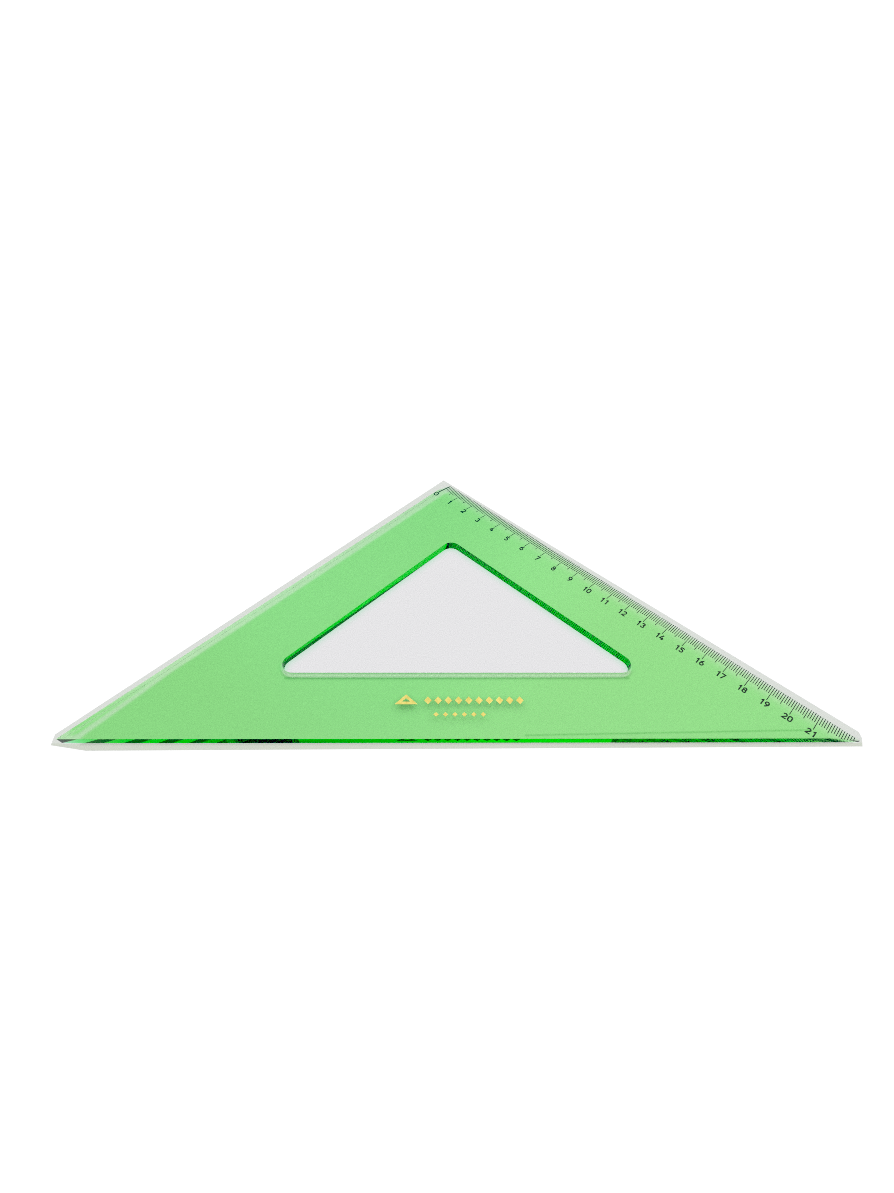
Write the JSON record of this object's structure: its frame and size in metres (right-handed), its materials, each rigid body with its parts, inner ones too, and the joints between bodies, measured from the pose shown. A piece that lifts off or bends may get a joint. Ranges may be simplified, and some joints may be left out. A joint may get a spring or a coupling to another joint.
{
  "type": "set square",
  "caption": "45-45-90 drafting set square of transparent green acrylic, with a triangular window and one bevelled leg carrying a millimetre scale.",
  "frame": {"origin": "centre of the bounding box on the underside, midway between the hypotenuse and the right-angled corner", "axes": "+Z out of the top face, +X along the hypotenuse towards the graduated leg's sharp corner, +Y from the hypotenuse towards the right angle"},
  "size_m": [0.3194, 0.16, 0.0035],
  "materials": {
    "acrylic": "clear cast acrylic tinted green, polished faces, saw-cut edges polished",
    "ink": "dark green-black stamped ink, matt",
    "foil": "gold hot-stamping foil, satin"
  },
  "bodies": {
    "root": {"plate": "acrylic", "graduation_lines": "ink", "numeral_00": "ink", "numeral_01": "ink", "numeral_02": "ink", "numeral_03": "ink", "numeral_04": "ink", "numeral_05": "ink", "numeral_06": "ink", "numeral_07": "ink", "numeral_08": "ink", "numeral_09": "ink", "numeral_10_a": "ink", "numeral_10_b": "ink", "numeral_11_a": "ink", "numeral_11_b": "ink", "numeral_12_a": "ink", "numeral_12_b": "ink", "numeral_13_a": "ink", "numeral_13_b": "ink", "numeral_14_a": "ink", "numeral_14_b": "ink", "numeral_15_a": "ink", "numeral_15_b": "ink", "numeral_16_a": "ink", "numeral_16_b": "ink", "numeral_17_a": "ink", "numeral_17_b": "ink", "numeral_18_a": "ink", "numeral_18_b": "ink", "numeral_19_a": "ink", "numeral_19_b": "ink", "numeral_20_a": "ink", "numeral_20_b": "ink", "numeral_21_a": "ink", "numeral_21_b": "ink", "foil_dot_1": "foil", "foil_dot_2": "foil", "foil_dot_3": "foil", "foil_dot_4": "foil", "foil_dot_5": "foil", "foil_dot_6": "foil", "foil_emblem": "foil", "foil_mark_01": "foil", "foil_mark_02": "foil", "foil_mark_03": "foil", "foil_mark_04": "foil", "foil_mark_05": "foil", "foil_mark_06": "foil", "foil_mark_07": "foil", "foil_mark_08": "foil", "foil_mark_09": "foil", "foil_mark_10": "foil"}
  },
  "joints": []
}
